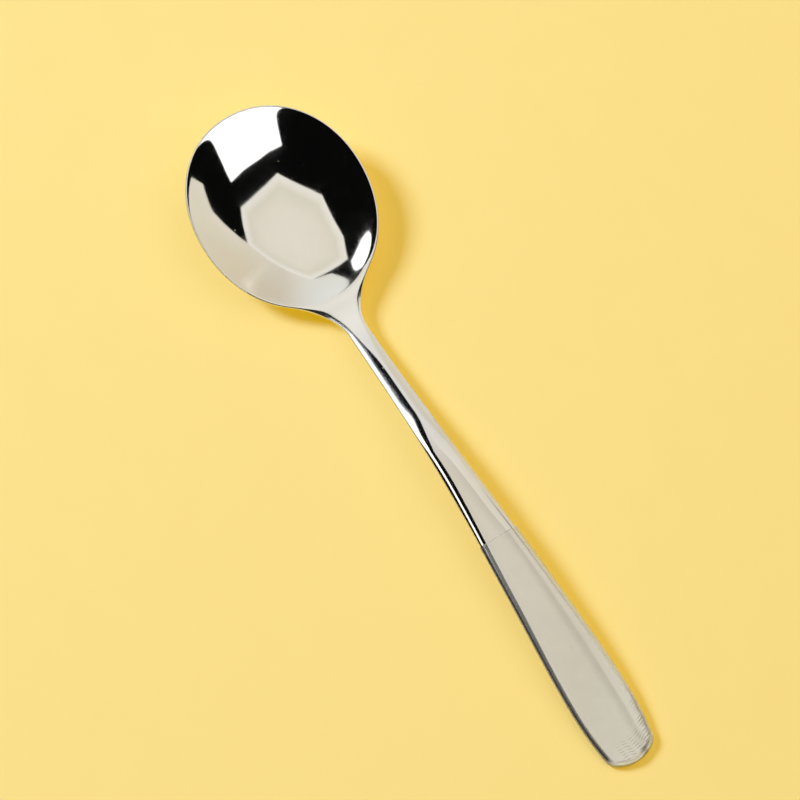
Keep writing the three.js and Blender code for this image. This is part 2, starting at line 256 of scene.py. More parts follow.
def bevel(x, y, half, lean):
    """Rise of the top over the edge line. From the edge inwards it drops less and less: by slope
    (t + hypot(t, fade)) / 2, t the width of the bevel less the way in, and the ridge is rounded by hypot.
    Lean is how much longer the way in is across the spoon than square to a slanted outline."""
    slope = through_stations(BEVEL_SLOPES, x)
    width = through_stations(BEVEL_WIDTHS, x)
    fade = through_stations(BEVEL_FADES, x)

    def drop(inwards):
        return slope * (width - inwards + np.hypot(width - inwards, fade)) / 2

    return drop(0) - drop((np.hypot(half, RIDGE_ROUND) - np.hypot(y, RIDGE_ROUND)) / lean)


print("height of the edge at the arch, mm:", round(float(through_stations(HEIGHTS, np.array(ARCH))), 2))

# %% [markdown]
# A cross-section of the metal is a bar with rounded edges, bent into the hollow. One ring of points goes
# over the top from the left edge to the right one and back below, and the rings of all stations make one
# closed skin. Subdivision of a coarse mesh would be the quick way, but it would pull the rim inwards. A fine
# grid of computed points keeps the true shape, and a mirror shows every fault in it.

# %% Rings of the skin
ZONE_PER_BEVEL = 1.5
ZONE_LIMIT = 0.75


def rings_of(x, growth, edge_steps, face_steps):
    """Rings at stations x, as an array (station, point, xyz), and the distance of each point from the edge.
    The distance is (h^2 - y^2) / (2 h lean), h the half width. The metal swells to its edge thickness as a
    quarter ellipse, sqrt(i (2 - i)), i the share of the rounding; bevel, crown and belly come on top. The
    points crowd in a zone at the edges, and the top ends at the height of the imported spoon."""
    x = x[:, None]
    half = half_width(x, growth)
    lean = np.hypot(1, slope_of(lambda place: half_width(place, growth), x))
    rounding = through_stations(ROUNDS, x) + growth
    zone = rounding + ZONE_PER_BEVEL * through_stations(BEVEL_WIDTHS, x)
    reach = np.minimum(2 * half * lean * zone, ZONE_LIMIT * half ** 2)
    inset = 1 - np.cos(np.pi / 2 * np.arange(edge_steps) / edge_steps)
    edge = np.sqrt(half ** 2 - reach * inset)
    face = np.sqrt(half ** 2 - reach) * np.linspace(1, -1, face_steps + 1)
    y = np.concatenate([-edge, -face, edge[:, ::-1]], axis=1)
    distance = (half ** 2 - y ** 2) / (2 * half * lean)
    i = np.clip(distance / rounding, 0, 1)
    swell = (through_stations(SIDE_HEIGHTS, x) / 2 + growth) * np.sqrt(i * (2 - i))
    bulge = 1 - (y / half) ** 2
    line = through_stations(HEIGHTS, x) - hollow(x, y)
    above = line + swell + bevel(x, y, half, lean) + through_stations(CROWNS, x) * bulge
    above = np.minimum(above, steel_high[2])
    below = np.maximum(0, line - swell - through_stations(BELLIES, x) * bulge)
    wide = np.broadcast_to(x, y.shape)
    top = np.stack([wide, y, above], axis=-1)
    bottom = np.stack([wide, y, below], axis=-1)
    ring = np.concatenate([top, bottom[:, -2:0:-1]], axis=1)
    return ring, np.concatenate([distance, distance[:, -2:0:-1]], axis=1)


def crowding(start, finish, steps):
    """Stations from start, without it, that crowd towards finish as a sine, without finish."""
    return start + (finish - start) * np.sin(np.pi / 2 * np.arange(1, steps) / steps)


def end_point(x, growth=0.0):
    """The point on the outline's axis that closes an end: the middle of the metal at x."""
    place = np.array(x, float)
    height = through_stations(HEIGHTS, place) - hollow(place, np.array(0.0))
    return np.array([[x + growth, 0, float(height)]])


def joined(near, far):
    """Quads between two rings of point numbers, the second one further along, facing outwards."""
    beside = np.roll(far, -1, axis=-1), np.roll(near, -1, axis=-1)
    return np.stack([near, far, *beside], axis=-1).reshape(-1, 4)


def closed(ring, point, ahead):
    """Triangles from a ring to one point, ahead of it or behind it."""
    following = np.roll(ring, -1)
    third = np.full_like(ring, point)
    return np.stack([ring, third, following] if ahead else [ring, following, third], axis=-1)


def make_piece(name, points, quads, triangles):
    """Puts whole arrays of points, in millimetres from the front of the bowl, and faces into a mesh."""
    mesh = bpy.data.meshes.new(name)
    mesh.vertices.add(len(points))
    places = (points + [steel_low[0], 0, 0]) * MM
    mesh.vertices.foreach_set("co", places.astype(np.float32).ravel())
    corners = np.concatenate([quads.ravel(), triangles.ravel()])
    counts = np.concatenate([np.full(len(quads), 4), np.full(len(triangles), 3)])
    mesh.loops.add(len(corners))
    mesh.loops.foreach_set("vertex_index", corners.astype(np.int32))
    mesh.polygons.add(len(counts))
    mesh.polygons.foreach_set("loop_start", (np.cumsum(counts) - counts).astype(np.int32))
    mesh.polygons.foreach_set("use_smooth", np.ones(len(counts), bool))
    mesh.update(calc_edges=True)
    mesh.validate()
    piece = bpy.data.objects.new(name, mesh)
    bpy.context.collection.objects.link(piece)
    print(name, "has", len(points), "points and", len(counts), "faces")
    return piece


def mark_points(piece, marks):
    """Keeps named numbers on a piece, one for each point, for its finish."""
    for name, values in marks.items():
        attribute = piece.data.attributes.new(name, "FLOAT", "POINT")
        attribute.data.foreach_set("value", values.astype(np.float32))


# %% Steel spoon
END_ZONE = LENGTH - 5

steel_stations = np.concatenate([
    crowding(FRONT_REACH, 0, 60)[::-1],
    np.linspace(FRONT_REACH, NECK_START, 90, endpoint=False),
    np.linspace(NECK_START, END_ZONE, 130),
    crowding(END_ZONE, LENGTH, 28),
])
steel_rings, _ = rings_of(steel_stations, 0, edge_steps=9, face_steps=96)
numbers = np.arange(steel_rings.shape[0] * steel_rings.shape[1]).reshape(steel_rings.shape[:2])
steel_points = np.concatenate([steel_rings.reshape(-1, 3), end_point(0), end_point(LENGTH)])
steel_spoon = make_piece(
    "steel_spoon",
    steel_points,
    joined(numbers[:-1], numbers[1:]),
    np.concatenate([
        closed(numbers[0], numbers.size, ahead=False),
        closed(numbers[-1], numbers.size + 1, ahead=True),
    ]),
)
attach(steel_spoon, "root")
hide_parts("spoon")

# %% [markdown]
# A very soft facet starts before the arch and runs slanting along the top of the handle: its reflection is
# brighter on its right and darker just left of it. It is too flat to measure as a shape, so it is kept as
# two numbers on the points, which the finish turns into a painted highlight on its right and painted shade
# just left of it. Under the film only part of it is seen.

# %% Facet line on the handle, painted as highlight and shade
FILM_MOUTH = film_low[0] - steel_low[0]
FACET_STATIONS = [94, 98, 113.5, 120, 134, 150]
FACET_OFFSETS = [-0.6, 0.1, 1.3, 2.3, 3.6, 4.2]
FACET_SOFTNESS = 0.15
FACET_SHADE_WIDTH = 3.0
FILM_HIDES = 0.55


def comes_in(x, start):
    """Goes from 0 to 1 over 10 mm, from 4 mm before a station."""
    return smooth_step(x, start - 4, start + 6)


steel_x, steel_y = steel_points[:, 0], steel_points[:, 1]
right_of_line = steel_y - np.interp(steel_x, FACET_STATIONS, FACET_OFFSETS)
facet_shown = comes_in(steel_x, FACET_STATIONS[0]) * (1 - FILM_HIDES * comes_in(steel_x, FILM_MOUTH))
facet_highlight_share = smooth_step(right_of_line, -FACET_SOFTNESS, FACET_SOFTNESS)
facet_shade_share = smooth_step(right_of_line, -FACET_SHADE_WIDTH, -FACET_SOFTNESS) * (1 - facet_highlight_share)
facet_painted_marks = {"facet_painted_highlight": facet_shown * facet_highlight_share, "facet_painted_shade": facet_shown * facet_shade_share}
mark_points(steel_spoon, facet_painted_marks)
print("facet line ends", FACET_OFFSETS[-1], "mm right of the middle")

# %% [markdown]
# The film is a thin clear bag shrunk on to the handle, with a square-cut mouth. Heat draws it tight over the
# flat faces, but at the tip there is too much of it, so it gathers in fine pleats: short ones across the
# right edge, and long shallow ones that follow the end. They are real folds in the skin here, a few
# hundredths of a millimetre high, and the same numbers are kept on the points for the finish, which paints
# shade in their valleys and a faint highlight on their crests.

# %% Pleats of the film
PLEATS_START = LENGTH - 18
PLEAT_PITCH = 0.62
GATHER_PITCH = 0.7
GATHER_SHARE = 0.78
PLEAT_HEIGHT = 0.035


def pleats_at(x, y, distance):
    """Height share of the folds, 0 to 1. Edge pleats are waves along the right edge, over the last 15 mm,
    that fade 2.4 mm from it. End gathers are waves in the distance from the end arc, over 7.5 mm. Slow
    waves bend both kinds and make them stronger and weaker."""
    sideways = smooth_step(x, LENGTH - 15, LENGTH - 11) * smooth_step(y, 1.5, 4)
    sideways = sideways * (0.8 + 0.2 * np.sin(2.9 * x))
    band = smooth_step(distance, 0.3, 0.9) * (1 - smooth_step(distance, 1.3, 2.4))
    edge = np.cos(2 * np.pi * (x + 0.25 * y) / PLEAT_PITCH + 1.3 * np.sin(1.7 * x)) * sideways * band
    from_end = LENGTH - END_ARC + np.sqrt(np.maximum(0, END_ARC ** 2 - y ** 2)) - x
    zone = smooth_step(from_end, 0.4, 1.4) * (1 - smooth_step(from_end, 4.0, 7.5))
    bend = 0.125 * np.sin(1.1 * y) + 0.0875 * np.sin(2.3 * y + 1) + 0.03 * y
    gather = np.cos(2 * np.pi * (from_end + bend) / GATHER_PITCH) * zone
    gather = gather * (0.7 + 0.3 * np.sin(3.1 * y + 0.9 * from_end)) * smooth_step(y, -6, -1)
    return 0.5 + 0.5 * np.clip(edge + GATHER_SHARE * gather, -1, 1)


# %% [markdown]
# Where the film turns round an edge, the eye looks along it and through more of it. On the left, away from
# the light, that reads as a grey haze, a dark line and a thin brown line outside it: the first two are
# painted shade, and the brown line is a painted reflection of the yellow table. On the right and at the end
# the edge is painted pale, as a sheen. The facet line of the steel shows on top as a faint painted darker
# line, with a painted paler band beside it.

# %% Painted shade, reflection and sheen along the film's edges
PALE_LOSS_AT_PLEATS = 0.6


def painted_edge_tones(x, y, distance):
    """Shares from 0 to 1 of painted shade, reflection and sheen. Those at the edges fall with the distance
    from the edge, in mm; the two marks of the facet line follow the share of the half width that a point
    stands to the right."""
    at_end = smooth_step(x, CORNER - 2, CORNER)
    left = (y < 0) * (1 - at_end)
    at_pleats = smooth_step(x, PLEATS_START, PLEATS_START + 5) * (1 - at_end)
    painted_sheen_side = (1 - left) * np.maximum(y > 0, x > CORNER - 2) * (1 - PALE_LOSS_AT_PLEATS * at_pleats)
    share = y / half_width(np.minimum(x, CORNER))
    return {
        "painted_left_shade": left * (1 - smooth_step(distance, 0.7, 1.2)),
        "painted_seam_shade": left * smooth_step(distance, 0.08, 0.14) * (1 - smooth_step(distance, 0.4, 0.6)),
        "painted_table_reflection": np.maximum(left, x > CORNER - 1) * (1 - smooth_step(distance, 0.05, 0.1)),
        "painted_edge_sheen": painted_sheen_side * (1 - smooth_step(distance, 0.9, 1.5)),
        "painted_film_facet_sheen": smooth_step(share, 0.50, 0.66),
        "painted_film_facet_shade": smooth_step(share, 0.15, 0.50) * (1 - smooth_step(share, 0.50, 0.58)),
    }


# %% Film sleeve
FILM_EDGE_STEPS = 10
FILM_FACE_STEPS = 100


def film_layer(growth, pleated):
    """Rings of one skin of the film, its end point, and the numbers for the finish. The top sinks by the
    pleat height times one minus the pleat, so that it never leaves the wall of the bag."""
    stations = np.concatenate([
        np.linspace(FILM_MOUTH, PLEATS_START, 40, endpoint=False),
        np.linspace(PLEATS_START, END_ZONE, 105),
        crowding(END_ZONE, LENGTH + growth, 40),
    ])
    rings, distance = rings_of(stations, growth, FILM_EDGE_STEPS, FILM_FACE_STEPS)
    x, y = rings[..., 0], rings[..., 1]
    pleat = pleats_at(x, y, distance)
    over_top = np.arange(rings.shape[1]) <= 2 * FILM_EDGE_STEPS + FILM_FACE_STEPS
    rings[..., 2] -= PLEAT_HEIGHT * (1 - pleat) * pleated * over_top
    return rings, end_point(LENGTH, growth), {"pleat": pleat, **painted_edge_tones(x, y, distance)}


outer, outer_end, outer_marks = film_layer(FILM_GROWTH, 1.0)
inner, inner_end, inner_marks = film_layer(FILM_CLEARANCE, 0.0)
skin = np.arange(outer.shape[0] * outer.shape[1]).reshape(outer.shape[:2])
lining = skin + skin.size
film_wrap = make_piece(
    "film_wrap",
    np.concatenate([outer.reshape(-1, 3), inner.reshape(-1, 3), outer_end, inner_end]),
    np.concatenate([
        joined(skin[:-1], skin[1:]),
        joined(lining[1:], lining[:-1]),
        joined(lining[0], skin[0]),
    ]),
    np.concatenate([
        closed(skin[-1], 2 * skin.size, ahead=True),
        closed(lining[-1], 2 * skin.size + 1, ahead=False),
    ]),
)
AT_END_POINTS = [0.5, 0.5]
mark_points(film_wrap, {
    name: np.concatenate([outer_marks[name].ravel(), inner_marks[name].ravel(), AT_END_POINTS])
    for name in outer_marks
})
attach(film_wrap, "root")
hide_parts("film_sleeve")

# %% [markdown]
# Materials are built from nodes. A small helper places one node and fills its inputs, either with a plain
# value or with the socket of another node, so that a finish reads as a short list. Two effects are shared
# by the finishes and become node groups: fine lines, which a polishing wheel or a drawn film leaves along
# one direction, and specks of dust.

# %% Helper for nodes
def place(tree, kind, inputs=None, **settings):
    """Adds one node; an input is a number, a colour, or the socket that it is linked from."""
    made = tree.nodes.new(kind)
    for key, value in settings.items():
        setattr(made, key, value)
    for key, value in (inputs or {}).items():
        if isinstance(value, bpy.types.NodeSocket):
            tree.links.new(value, made.inputs[key])
        else:
            made.inputs[key].default_value = value
    return made


def spread(tree, value, low, high, to_low=0.0, to_high=1.0):
    """Map Range from low..high to to_low..to_high, clamped."""
    made = place(tree, "ShaderNodeMapRange", {
        "Value": value, "From Min": low, "From Max": high, "To Min": to_low, "To Max": to_high,
    })
    return made.outputs["Result"]


def new_group(name, inputs, outputs):
    """An empty shader group with named sockets: (name, kind, default)."""
    group = bpy.data.node_groups.new(name, "ShaderNodeTree")
    for socket, kind, value in inputs:
        made = group.interface.new_socket(socket, in_out="INPUT", socket_type=kind)
        if value is not None:
            made.default_value = value
    for socket, kind in outputs:
        group.interface.new_socket(socket, in_out="OUTPUT", socket_type=kind)
    start = group.nodes.new("NodeGroupInput")
    finish = group.nodes.new("NodeGroupOutput")
    return group, start.outputs, finish.inputs


# %% Fine lines, shared by steel and film
fine_lines, given, out = new_group(
    "fine_lines",
    [("Vector", "NodeSocketVector", None), ("Pitch", "NodeSocketFloat", 3000.0),
     ("Stretch", "NodeSocketVector", (0.02, 1.0, 1.0))],
    [("Lines", "NodeSocketFloat")],
)
drawn = place(fine_lines, "ShaderNodeVectorMath", {0: given["Vector"], 1: given["Stretch"]},
              operation="MULTIPLY")
grain = place(fine_lines, "ShaderNodeTexNoise", {
    "Vector": drawn.outputs["Vector"], "Scale": given["Pitch"], "Detail": 2.0, "Roughness": 0.6,
})
fine_lines.links.new(spread(fine_lines, grain.outputs["Fac"], 0.3, 0.7), out["Lines"])

# %% Dust specks, shared by steel and film
dust_specks, given, out = new_group(
    "dust_specks",
    [("Vector", "NodeSocketVector", None), ("Crowd", "NodeSocketFloat", 400.0),
     ("Size", "NodeSocketFloat", 0.05)],
    [("Specks", "NodeSocketFloat")],
)
grit = place(dust_specks, "ShaderNodeTexVoronoi", {"Vector": given["Vector"], "Scale": given["Crowd"]})
some = place(dust_specks, "ShaderNodeSeparateColor", {"Color": grit.outputs["Color"]})
kept = spread(dust_specks, some.outputs["Red"], 0.75, 1.0)
limit = place(dust_specks, "ShaderNodeMath", {0: given["Size"], 1: kept}, operation="MULTIPLY")
speck = place(dust_specks, "ShaderNodeMath", {0: grit.outputs["Distance"], 1: limit.outputs["Value"]},
              operation="LESS_THAN")
dust_specks.links.new(speck.outputs["Value"], out["Specks"])
print("shared effects:", [group.name for group in bpy.data.node_groups])

# %% [markdown]
# A finish is put together from marks, each a field of numbers from 0 to 1: lines, dust, stretches of the
# spoon, and the numbers kept on the points. Small helpers add marks to a value or lay their colours over
# each other.

# %% Helpers for finishes
def lines_of(tree, where, pitch, stretch):
    """Places the shared lines in a finish, with their own pitch and direction."""
    inputs = {"Vector": where, "Pitch": pitch, "Stretch": stretch}
    return place(tree, "ShaderNodeGroup", inputs, node_tree=fine_lines).outputs["Lines"]


def specks_of(tree, where, crowd, size):
    """Places the shared dust in a finish, with its own crowd and size."""
    inputs = {"Vector": where, "Crowd": crowd, "Size": size}
    return place(tree, "ShaderNodeGroup", inputs, node_tree=dust_specks).outputs["Specks"]


def joined_values(tree, first, second, operation="ADD"):
    """Adds two values, or joins them by another operation."""
    return place(tree, "ShaderNodeMath", {0: first, 1: second}, operation=operation).outputs["Value"]


def blended(tree, factor, first, second):
    """Blends two colours by a factor from 0 to 1."""
    return place(tree, "ShaderNodeMix", {0: factor, 6: first, 7: second}, data_type="RGBA").outputs[2]


def added(tree, value, shares):
    """Adds to a value the share of each mark: (mark, low, high, share), none of it at low, all at high."""
    for mark, low, high, share in shares:
        value = joined_values(tree, value, spread(tree, mark, low, high, 0, share))
    return value


def covered(tree, colour, coats):
    """Lays coats over a colour in turn: (mark, colour), where the mark is 1."""
    for mark, coat in coats:
        colour = blended(tree, mark, colour, (*coat, 1))
    return colour


def toned(tree, value, stops):
    """Colour that runs through stops, each a place from 0 to 1 and a colour."""
    made = place(tree, "ShaderNodeValToRGB", {"Fac": value})
    band = made.color_ramp.elements
    while len(band) < len(stops):
        band.new(0.5)
    for element, (spot, colour) in zip(band, stops):
        element.position = spot
        element.color = (*colour, 1)
    return made.outputs["Color"]


def station(spot):
    """Place in metres of a station in mm from the front of the bowl."""
    return (steel_low[0] + spot) * MM


def between(tree, value, rise, fall):
    """1 between two stretches, each a pair of stations, over which it comes and goes."""
    up = spread(tree, value, station(rise[0]), station(rise[1]))
    down = spread(tree, value, station(fall[0]), station(fall[1]), 1, 0)
    return joined_values(tree, up, down, "MULTIPLY")


def noise_of(tree, where, scale, detail):
    """Soft random field; scale is how many times it changes in a metre."""
    inputs = {"Vector": where, "Scale": scale, "Detail": detail}
    return place(tree, "ShaderNodeTexNoise", inputs).outputs["Fac"]


def marks_of(tree, names):
    """The numbers that a piece keeps on its points, in the order of their names."""
    return [place(tree, "ShaderNodeAttribute", attribute_name=name).outputs["Fac"] for name in names]


def raised(tree, height, distance, normal=None):
    """Bump of a height field; distance is the height in metres that a value of 1 stands for."""
    inputs = {"Height": height, "Distance": distance}
    if normal is not None:
        inputs["Normal"] = normal
    return place(tree, "ShaderNodeBump", inputs).outputs["Normal"]


def new_finish(name, piece):
    """A material on a piece; returns its node tree, its shader and the piece's own coordinates."""
    finish = bpy.data.materials.new(name)
    finish.use_nodes = True
    piece.data.materials.append(finish)
    tree = finish.node_tree
    return tree, tree.nodes["Principled BSDF"], place(tree, "ShaderNodeTexCoord").outputs["Object"]


# %% [markdown]
# Mirror-polished stainless steel. It has no colour of its own but a slightly warm grey, and takes its look
# from what it reflects. The bowl is buffed to a clear mirror. Behind it comes a short satin stretch, then a
# stretch with polishing lines across it, and fine lines run along the rest. The tone drifts a little along
# the spoon: warmer under the film, and brighter and cooler at the neck, where it is a painted sheen of the
# white panel that the satin polish catches. The facet line is painted as a highlight and a shade. A slow
# waviness, a few hundredths of a millimetre high, bends the reflections as rolled sheet does, and some dust
# lies on it.

# %% Polished steel
# Tones from the front to the end of the spoon; the bright cool stops at the neck are a painted sheen.
STEEL_TONES_AND_SHEEN = [
    (0.23, (0.745, 0.735, 0.705)),
    (0.29, (0.775, 0.795, 0.82)),
    (0.315, (0.83, 0.85, 0.88)),
    (0.35, (0.74, 0.775, 0.82)),
    (0.49, (0.71, 0.73, 0.77)),
    (0.58, (0.665, 0.65, 0.605)),
]
# Colours of the painted shade left of the facet line and of the painted highlight right of it.
FACET_PAINTED_SHADE = (0.42, 0.40, 0.37, 1)
FACET_PAINTED_HIGHLIGHT = (0.86, 0.86, 0.84, 1)
SMEARED = (0.5, 0.49, 0.47, 1)
STEEL_DUST = (0.8, 0.79, 0.76, 1)
WAVE_HEIGHT = 2.5e-5
RIPPLE_HEIGHT = 7e-6
HATCH_HEIGHT = 2.4e-6
LINE_HEIGHT = 3e-7

tree, shader, here = new_finish("polished_steel", steel_spoon)
along = place(tree, "ShaderNodeSeparateXYZ", {"Vector": here}).outputs["X"]
satin = between(tree, along, (46, 54), (58, 70))
hatched = between(tree, along, (66, 74), (90, 97))
on_handle = spread(tree, along, station(40), station(58))
across_lines = lines_of(tree, here, 5200.0, (1.0, 0.03, 0.03))
along_lines = lines_of(tree, here, 4200.0, (0.03, 1.0, 1.0))
waves = noise_of(tree, here, 70.0, 1.0)
ripples = noise_of(tree, here, 220.0, 1.0)
smears = noise_of(tree, here, 160.0, 3.0)
specks = specks_of(tree, here, 420.0, 0.06)
facet_painted_highlight, facet_painted_shade = marks_of(tree, facet_painted_marks)

rough = added(tree, spread(tree, on_handle, 0, 1, 0.035, 0.08), [
    (along_lines, 0, 1, 0.02),
    (smears, 0.45, 0.75, 0.03),
    (satin, 0, 1, 0.16),
    (along_lines, 0.9, 1, 0.05),
    (specks, 0, 1, 0.5),
])
tree.links.new(rough, shader.inputs["Roughness"])
tone = toned(tree, spread(tree, along, station(0), station(LENGTH)), STEEL_TONES_AND_SHEEN)
# Painted shade and painted highlight of the facet line, laid over the tone.
tone = blended(tree, spread(tree, facet_painted_shade, 0, 1, 0, 0.35), tone, FACET_PAINTED_SHADE)
tone = blended(tree, spread(tree, facet_painted_highlight, 0, 1, 0, 0.3), tone, FACET_PAINTED_HIGHLIGHT)
tone = blended(tree, spread(tree, smears, 0.3, 0.7, 0, 0.08), tone, SMEARED)
tree.links.new(blended(tree, specks, tone, STEEL_DUST), shader.inputs["Base Color"])
tree.links.new(spread(tree, specks, 0, 1, 1, 0.1), shader.inputs["Metallic"])
worked = joined_values(tree, spread(tree, hatched, 0, 1, 0.25, 1), across_lines, "MULTIPLY")
worked = joined_values(tree, on_handle, worked, "MULTIPLY")
normal = raised(tree, ripples, RIPPLE_HEIGHT, raised(tree, waves, WAVE_HEIGHT))
normal = raised(tree, along_lines, LINE_HEIGHT, raised(tree, worked, HATCH_HEIGHT, normal))
tree.links.new(normal, shader.inputs["Normal"])
print("steel finish has", len(tree.nodes), "nodes")

# %% [markdown]
# Clear shrink film. It lets the steel show through, with a slight milky haze, and it is a little rough, so it
# has a satin shine. The pleats at the tip get a faint painted highlight on their crests and a painted
# brownish shade in their valleys, and the edges take the painted shade, reflection and sheen that were kept
# on the points. Glass would be the exact model, but four passes of refraction would only add noise to a film
# this thin, so its haze is written as an opacity.

# %% Clear film
THIN_HAZE = (0.90, 0.87, 0.78, 1)
THICK_HAZE = (0.95, 0.92, 0.84, 1)
HAZE_HEIGHT = 1.5e-5
DRAWN_HEIGHT = 2e-6

tree, shader, here = new_finish("clear_film", film_wrap)
along = place(tree, "ShaderNodeSeparateXYZ", {"Vector": here}).outputs["X"]
pleat, painted_left_shade, painted_seam_shade, painted_table_reflection, painted_edge_sheen, painted_film_facet_sheen, painted_film_facet_shade = marks_of(tree, outer_marks)
haze = noise_of(tree, here, 260.0, 4.0)
drawn_lines = lines_of(tree, here, 2600.0, (0.05, 1.0, 1.0))
specks = specks_of(tree, here, 500.0, 0.08)
# Painted shade in the valleys of the pleats and a faint painted highlight on their crests.
painted_valley_shade = spread(tree, pleat, 0.42, 0.1)
painted_crest_highlight = spread(tree, pleat, 0.6, 0.95)
lip = spread(tree, along, station(FILM_MOUTH + 0.3), station(FILM_MOUTH + 0.15))

# Coats over the haze: the facet line as painted shade, painted shade and a painted table reflection at the
# left edge, dust, and painted shade in the pleat valleys.
milky = covered(tree, blended(tree, haze, THIN_HAZE, THICK_HAZE), [
    (painted_film_facet_shade, (0.50, 0.46, 0.39)),
    (painted_left_shade, (0.30, 0.29, 0.27)),
    (painted_seam_shade, (0.02, 0.02, 0.02)),
    (painted_table_reflection, (0.62, 0.50, 0.30)),
    (specks, (0.35, 0.29, 0.22)),
    (painted_valley_shade, (0.32, 0.27, 0.20)),
])
tree.links.new(milky, shader.inputs["Base Color"])
# Opacity rises where the painted marks and the dust lie, so that they show over the steel.
cover = added(tree, spread(tree, haze, 0.3, 0.7, 0.035, 0.05), [
    (painted_valley_shade, 0, 1, 0.3),
    (painted_left_shade, 0, 1, 0.22),
    (painted_seam_shade, 0, 1, 0.55),
    (painted_edge_sheen, 0, 1, 0.3),
    (painted_film_facet_sheen, 0, 1, 0.025),
    (painted_film_facet_shade, 0, 1, 0.03),
    (painted_table_reflection, 0, 1, 0.2),
    (painted_crest_highlight, 0, 1, 0.02),
    (lip, 0, 1, 0.15),
    (specks, 0, 1, 0.4),
])
tree.links.new(cover, shader.inputs["Alpha"])
tree.links.new(spread(tree, drawn_lines, 0, 1, 0.2, 0.3), shader.inputs["Roughness"])
normal = raised(tree, haze, HAZE_HEIGHT, raised(tree, drawn_lines, DRAWN_HEIGHT))
tree.links.new(normal, shader.inputs["Normal"])
print("film finish has", len(tree.nodes), "nodes")

# %% [markdown]
# The table is a plain pale yellow board, wide enough that its rim is far away. Near the spoon it is a matt
# paint that keeps the shadow. Far from it, the eye and the mirrors are given the plain colour, because a
# small studio can't light a wide table evenly.

# %% Table
TABLE_COLOUR = (0.98, 0.755, 0.258, 1)
PAINT_LIGHT = (0.985, 0.765, 0.265, 1)
PAINT_DARK = (0.972, 0.745, 0.25, 1)
TABLE_REACH = 7.0
TABLE_MIDDLE = 0.02
TABLE_HEIGHT = -0.00002
PLAIN_FROM = 0.3
PLAIN_TO = 0.8


def table_surface(rounds, turns):
    """Radius grows along the first parameter and the angle along the second; the height is just below 0."""
    radius = np.geomspace(TABLE_MIDDLE, TABLE_REACH, rounds)[:, None]
    angle = np.linspace(0, 2 * np.pi, turns, endpoint=False)
    x, y = radius * np.cos(angle), radius * np.sin(angle)
    return np.stack([x, y, np.full_like(x, TABLE_HEIGHT)], axis=-1)


table_rings = table_surface(24, 96)
spots = np.arange(table_rings.shape[0] * table_rings.shape[1]).reshape(table_rings.shape[:2])
table_faces = joined(spots[1:], spots[:-1]).tolist() + [spots[0].tolist()]
table_mesh = bpy.data.meshes.new("table")
table_mesh.from_pydata(table_rings.reshape(-1, 3).tolist(), [], table_faces)
table = bpy.data.objects.new("table", table_mesh)
bpy.context.collection.objects.link(table)

tree, shader, here = new_finish("pale_table", table)
shader.inputs["Roughness"].default_value = 0.6
shader.inputs["Specular IOR Level"].default_value = 0.2
paint = blended(tree, noise_of(tree, here, 90.0, 5.0), PAINT_LIGHT, PAINT_DARK)
tree.links.new(paint, shader.inputs["Base Color"])
radius = place(tree, "ShaderNodeVectorMath", {0: here}, operation="LENGTH").outputs["Value"]
away = spread(tree, radius, PLAIN_FROM, PLAIN_TO)
ray = place(tree, "ShaderNodeLightPath").outputs
seen = joined_values(tree, ray["Is Camera Ray"], ray["Is Glossy Ray"], "MAXIMUM")
seen = joined_values(tree, seen, ray["Is Transmission Ray"], "MAXIMUM")
plain = place(tree, "ShaderNodeEmission", {"Color": TABLE_COLOUR})
mix = place(tree, "ShaderNodeMixShader", {
    0: joined_values(tree, away, seen, "MULTIPLY"), 1: shader.outputs["BSDF"], 2: plain.outputs["Emission"],
})
tree.links.new(mix.outputs["Shader"], tree.nodes["Material Output"].inputs["Surface"])
print("table spans", 2 * TABLE_REACH, "m")

# %% [markdown]
# A mirror needs something to reflect, so the studio is a dark room with a few pale cards. A warm scrim hangs
# overhead and shows as a many-sided pale patch in the bowl. A wall behind the spoon shows along the lower
# rim. A white screen on the right shows at the front of the bowl, and a long white panel on the left shows
# as an oval in the bowl and as the white line down the side of the neck. Directions are seen from the bowl.
# The cards could light the table too, but then each change of a reflection would change the shadow, so
# they are shown to mirrors alone.

# %% Studio cards
BOWL_PLACE = np.array([(steel_low[0] + FRONT_REACH) * MM, 0, 0.003])


def towards(azimuth, elevation):
    """Unit directions from angles in degrees; azimuth turns from +X to +Y."""
    turn, rise = np.radians(azimuth), np.radians(elevation)
    return np.stack([np.cos(rise) * np.cos(turn), np.cos(rise) * np.sin(turn), np.sin(rise)], axis=-1)


def angles_of(points):
    """Azimuth, from 0 to 360, and elevation of points, in degrees."""
    turn = np.degrees(np.arctan2(points[:, 1], points[:, 0])) % 360
    return turn, np.degrees(np.arctan2(points[:, 2], np.hypot(points[:, 0], points[:, 1])))


def make_card(name, points, faces, glow):
    """A card that only mirrors show; glow is the light that each of its points gives."""
    mesh = bpy.data.meshes.new(name)
    mesh.from_pydata((BOWL_PLACE + points).tolist(), [], faces)
    mark = mesh.attributes.new("glow", "FLOAT_COLOR", "POINT")
    colours = np.column_stack([np.broadcast_to(glow, (len(points), 3)), np.ones(len(points))])
    mark.data.foreach_set("color", colours.astype(np.float32).ravel())
    card = bpy.data.objects.new(name, mesh)
    bpy.context.collection.objects.link(card)
    card.visible_camera = False
    card.visible_diffuse = False
    card.visible_shadow = False
    shine = bpy.data.materials.new(name)
    shine.use_nodes = True
    tree = shine.node_tree
    colour = place(tree, "ShaderNodeAttribute", attribute_name="glow").outputs["Color"]
    light = place(tree, "ShaderNodeEmission", {"Color": colour})
    tree.links.new(light.outputs["Emission"], tree.nodes["Material Output"].inputs["Surface"])
    mesh.materials.append(shine)
    print(name, "card has", len(points), "points")


